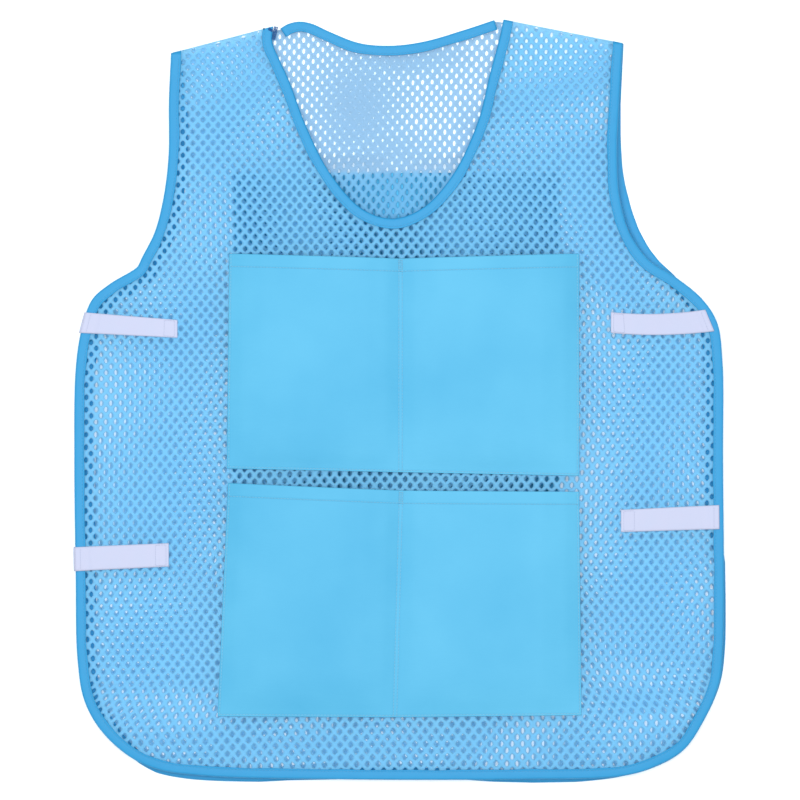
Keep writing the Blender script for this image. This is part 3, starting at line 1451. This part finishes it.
@dataclass
class Strap:
    """A side strap of woven tape, flat on the front.

    One that wraps runs round the front's edge to the back.
    """

    name: str
    form: VestForm
    side: int
    wraps: bool
    height: float
    run: float
    set_in: float
    outer_width: float
    inner_width: float
    rise: float
    bow: float
    rests_on: tuple[str, ...] = ("front_panel_net", "front_edge_binding_tape")
    ease: float = 5.0
    across_points: int = 13

    def _edge_x(self, y: float) -> float:
        """Place of the vest's side edge at a height on the plan."""
        points = self.form.front_edge.points
        half = len(points) // 2
        flank = points[:half][::-1] if self.side < 0 else points[half:]
        return float(np.interp(y, flank[:, 1], flank[:, 0]))

    def _plan(self, inward: np.ndarray, flank: np.ndarray) -> np.ndarray:
        """Plan of the strap: inward in millimetres from its outer end, flank from -1 below to 1 above."""
        s = self.form.sizes
        length = s.strap_length * self.run
        outer_y = s.from_hem(self.height * s.length) + self.form.offset[1]
        share = inward / length
        ends = []
        for way in (-1.0, 1.0):
            start_y = outer_y + way * self.outer_width * s.strap_width / 2
            start_x = self._edge_x(start_y) - self.side * self.set_in * s.binding_width
            end_x = self._edge_x(outer_y) - self.side * (self.set_in * s.binding_width + length)
            end_y = outer_y + self.rise * s.strap_width + way * self.inner_width * s.strap_width / 2
            bow = self.bow * s.strap_width * 4 * share * (1 - share)
            end_line = [start_x + (end_x - start_x) * share, start_y + (end_y - start_y) * share + bow]
            ends.append(np.stack(end_line, axis=-1))
        weight = ((flank + 1) / 2)[..., None]
        return ends[0] * (1 - weight) + ends[1] * weight

    def _centreline(self) -> tuple[np.ndarray, np.ndarray]:
        """The strap's run as (inward, rise) points, and 1 where the rise is above the front net's underside.

        The rise goes from the net to the binding in a soft step. A wrapped strap then turns down round the
        edge in a half circle and back along the top of the back's binding, at a height of its own.
        """
        s = self.form.sizes
        half = s.strap / 2
        lip = s.binding_width * (1.2 - self.set_in)
        length = s.strap_length * self.run
        inward = np.linspace(length, 0.0, 60)
        step = smooth((lip + self.ease - inward) / self.ease)
        rise = s.net + s.gap + half + (s.binding_over - s.net) * step
        run = np.stack([inward, rise], axis=1)
        if not self.wraps:
            return run, np.ones(len(run))
        level = float(self.form.front_height(*self._plan(np.array([0.0]), np.array([0.0]))[0][:, None])[0])
        high = level + s.binding_over + s.gap + half
        low = s.back_binding_top + s.gap + half
        turn = np.linspace(np.pi / 2, 3 * np.pi / 2, 17)[1:-1]
        bend = np.stack([
            s.gap + 0.4 + (s.strap_play + half + s.gap + 0.4) * np.cos(turn),
            (high + low) / 2 + (high - low) / 2 * np.sin(turn) - level,
        ], axis=1)
        tail = np.stack([np.linspace(0.6, s.strap_tail, 8), np.full(8, low - level)], axis=1)
        return np.concatenate([run, bend, tail]), np.concatenate([np.ones(len(run)), np.zeros(len(bend) + 8)])

    def skins(self) -> list[Skin]:
        """The tape and its stitched ends."""
        s = self.form.sizes
        line, on_front = self._centreline()
        run = np.gradient(line, axis=0)
        run /= np.linalg.norm(run, axis=1, keepdims=True)
        normal = np.stack([run[:, 1], -run[:, 0]], axis=1)
        flank = np.linspace(-1.0, 1.0, self.across_points)
        selvedge = 1 - 0.35 * np.abs(flank) ** 12
        level = float(self.form.front_height(*self._plan(np.array([0.0]), np.array([0.0]))[0][:, None])[0])
        grids = []
        for face in (0.5, -0.5):
            offset = normal[:, None] * (face * s.strap * selvedge)[None, :, None]
            inward = line[:, None, 0] + offset[..., 0]
            plan = self._plan(inward, np.broadcast_to(flank, inward.shape))
            ground = self.form.front_height(plan[..., 0], plan[..., 1])
            base = np.where(on_front[:, None] > 0, ground, level)
            risen = base + line[:, None, 1] + offset[..., 1]
            grids.append(np.stack([plan[..., 0], plan[..., 1], risen], axis=-1))
        walked = np.concatenate([[0.0], np.cumsum(np.linalg.norm(np.diff(line, axis=0), axis=1))])
        uv = crossed_grid(walked, flank * s.strap_width / 2)
        return [shell(grids[0], grids[1], uv)] + self._sewn()

    def _sewn(self) -> list[Skin]:
        """Rows of stitches across the strap near its inner end, along its flanks and over the binding."""
        s = self.form.sizes
        length = s.strap_length * self.run
        rows = []
        for inward in (length - 2.5, length - 12.0, 3.0 + s.binding_width * 0.2):
            flank = np.linspace(-0.86, 0.86, 9)
            plan = self._plan(np.full(9, inward), flank)
            lift = s.net if inward > 2 * s.binding_width else s.binding_over
            rows.append(with_heights(plan, self.form.front_height, lift + s.gap + s.strap + 0.04))
        for way in (-0.86, 0.86):
            inward = np.linspace(length - 2.5, length - 12.0, 6)
            plan = self._plan(inward, np.full(6, way))
            rows.append(with_heights(plan, self.form.front_height, s.net + s.gap + s.strap + 0.04))
        return [stitches(row, 2.4, 2.0, 0.2) for row in rows]

    def build(self, materials: Sequence[bpy.types.Material]) -> bpy.types.Object:
        """Args:
            materials: The tape's and the thread's material.

        Returns:
            The piece.
        """
        piece = make_piece(f"{self.name}_tape", self.skins(), materials)
        dress(piece, self.name)
        line, _ = self._centreline()
        length = np.linalg.norm(np.diff(line, axis=0), axis=1).sum()
        width = self.form.sizes.strap_width * (self.outer_width + self.inner_width) / 2
        flat = (width * METRES_PER_MM, length * METRES_PER_MM)
        return piece


@dataclass
class Studio:
    """Pale floor, soft overhead light and a camera straight above, as the photograph was taken."""

    view_width: float = 0.72
    lens: float = 180.0
    sensor: float = 36.0
    subject_height: float = 0.009
    centre_x: float = 0.00012
    centre_y: float = 0.00121
    table_light: float = 0.13

    def floor(self) -> None:
        """A white light table under the vest."""
        graph = Graph("studio_floor")
        inputs = {
            "Base Color": (0.84, 0.89, 0.92, 1.0),
            "Roughness": 0.8,
            "Emission Color": (0.9, 0.97, 1.0, 1.0),
            "Emission Strength": self.table_light,
        }
        material = graph.surface(inputs)
        mesh = bpy.data.meshes.new("studio_floor")
        reach, level = 4.0, -0.0003
        corners = [(x * reach, y * reach, level) for x, y in ((-1, -1), (1, -1), (1, 1), (-1, 1))]
        mesh.from_pydata(corners, [], [(0, 1, 2, 3)])
        mesh.materials.append(material)
        floor = bpy.data.objects.new("studio_floor", mesh)
        bpy.context.scene.collection.objects.link(floor)

    def light(
        self, name: str, place: Sequence[float], turn: Sequence[float], size: float, power: float
    ) -> None:
        """A square soft light.

        Args:
            name: Its name.
            place: Where it hangs.
            turn: Its rotation in radians.
            size: Its side.
            power: Its power in watts.
        """
        data = bpy.data.lights.new(name, "AREA")
        data.size = size
        data.energy = power
        lamp = bpy.data.objects.new(name, data)
        lamp.location = place
        lamp.rotation_euler = turn
        bpy.context.scene.collection.objects.link(lamp)

    def camera(self) -> None:
        """The camera, looking straight down with the shoulders up."""
        data = bpy.data.cameras.new("camera")
        data.lens = self.lens
        data.sensor_width = self.sensor
        distance = self.view_width * self.lens / self.sensor
        camera = bpy.data.objects.new("camera", data)
        camera.location = (self.centre_x, self.centre_y, self.subject_height + distance)
        bpy.context.scene.collection.objects.link(camera)
        bpy.context.scene.camera = camera

    def world(self, strength: float) -> None:
        """Even white light from all round."""
        world = bpy.data.worlds.new("studio")
        world.use_nodes = True
        world.node_tree.nodes["Background"].inputs["Color"].default_value = (1.0, 1.0, 1.0, 1.0)
        world.node_tree.nodes["Background"].inputs["Strength"].default_value = strength
        bpy.context.scene.world = world

    def build(self) -> None:
        """Sets up the whole studio."""
        self.floor()
        self.camera()
        self.world(SKY_STRENGTH)
        self.light("key", KEY_PLACE, KEY_AIM, KEY_WIDE, KEY_POWER)
        bpy.context.scene.view_settings.view_transform = "Standard"


class Vest:
    """The whole vest: its form, finishes and pieces."""

    def __init__(self) -> None:
        """Works out the form and the finishes."""
        self.form = VestForm(Sizes())
        thread = ThreadFinish(Tone.THREAD).material("sewing_thread")
        strap_thread = ThreadFinish(Tone.STRAP_THREAD).material("strap_thread")
        self.front_net = [NetFinish(Tone.NET_LIGHT, Tone.NET_DEEP).material("front_net")]
        self.back_net = [NetFinish(Tone.BACK_NET_LIGHT, Tone.BACK_NET_DEEP).material("back_net")]
        self.cloth = [WovenFinish().material("pocket_cloth"), thread]
        back_cloth = WovenFinish(Tone.BACK_POCKET, Tone.BACK_POCKET_DEEP).material("back_pocket_cloth")
        self.back_cloth = [back_cloth, thread]
        tape_thread = ThreadFinish(Tone.TAPE_THREAD).material("binding_thread")
        tack_thread = ThreadFinish(Tone.TACK_THREAD).material("tack_thread")
        self.tape = [TapeFinish(Tone.TAPE, Tone.TAPE_DEEP).material("binding_tape"), tape_thread, tack_thread]
        white = TapeFinish(Tone.STRAP, Tone.STRAP_WARM, 1100.0, 0.08, 0.6, 0.2)
        self.strap = [white.material("strap_tape"), strap_thread]

    def panels(self) -> None:
        """The two nets."""
        form = self.form
        front = Warp(0.4, 0.3, 1.0, 1.013, 0.00012, 0.08, 1.6, 420.0)
        back = Warp(0.5, 2.7, 0.978, 1.005, 0.00012, 0.05, 3.0, 300.0)
        on_back = ("back_edge_binding_tape", "strap_left_lower_tape")
        front_net = NetPanel(
            "front_panel", form, form.front_edge, form.front_neck, form.front_height, front, on_back
        )
        front_net.build(self.front_net)
        on_floor = ("back_pocket_upper_cloth", "back_edge_binding_tape")
        back_net = NetPanel(
            "back_panel", form, form.back_edge, form.back_neck, form.back_height, back, on_floor,
            hole_wide=2.7, hole_tall=5.9, hazes=NECK_HAZES, bare_within=form.front_neck.points, seed=8,
        )
        back_net.build(self.back_net)

    def bindings(self) -> None:
        """The four folded tapes."""
        form = self.form
        pieces = (
            ("front_edge_binding", form.front_edge, form.front_height, ("front_panel_net",), 0.0),
            ("back_edge_binding", form.back_edge, form.back_height, ("studio_floor",), 1.3),
            ("front_neck_binding", form.front_neck, form.front_height, ("front_panel_net",), 2.1),
            ("back_neck_binding", form.back_neck, form.back_height, ("studio_floor",), 0.6),
        )
        for name, edge, height, rests_on, phase in pieces:
            tacks = NECK_TACKS if name == "front_neck_binding" else ()
            Binding(name, form, edge, height, rests_on, phase=phase, tacks=tacks).build(self.tape)

    def pockets(self) -> None:
        """The four rows of pockets."""
        form, s = self.form, self.form.sizes
        upper_base = s.front_pocket_foot + s.front_lower_height + s.front_row_gap
        PocketRow(
            "front_pocket_upper", form, upper_base, s.front_upper_height,
            Corner(-0.976, 1.023, -0.990, 0.018), Corner(0.003, 1.000, 0.003, 0.001),
            Corner(1.024, 1.023, 1.024, -0.016), ("front_panel_net",),
        ).build(self.cloth)
        PocketRow(
            "front_pocket_lower", form, s.front_pocket_foot, s.front_lower_height,
            Corner(-0.983, 1.032, -1.043, 0.000), Corner(0.006, 0.999, -0.029, -0.004),
            Corner(1.024, 0.994, 1.038, 0.005), ("front_panel_net",),
        ).build(self.cloth)
        square = (Corner(-1, 1, -1, 0), Corner(0, 1, 0, 0), Corner(1, 1, 1, 0))
        for name, top in zip(("back_pocket_lower", "back_pocket_upper"), s.back_row_tops):
            base = top - s.back_pocket_height
            row = PocketRow(
                name, form, base, s.back_pocket_height, *square, ("studio_floor",), on_front=False
            )
            row.build(self.back_cloth)

    def straps(self) -> None:
        """The four side straps."""
        for name, *shape in STRAPS:
            Strap(name, self.form, *shape).build(self.strap)

    def build(self) -> None:
        """Makes every piece."""
        self.panels()
        self.bindings()
        self.pockets()
        self.straps()


def main() -> None:
    """Builds the studio and the vest, then notes the frame's box and the dressed vest's."""
    logging.basicConfig(level=logging.INFO, format="%(message)s")
    Studio().build()
    Vest().build()


if __name__ == "__main__":
    main()
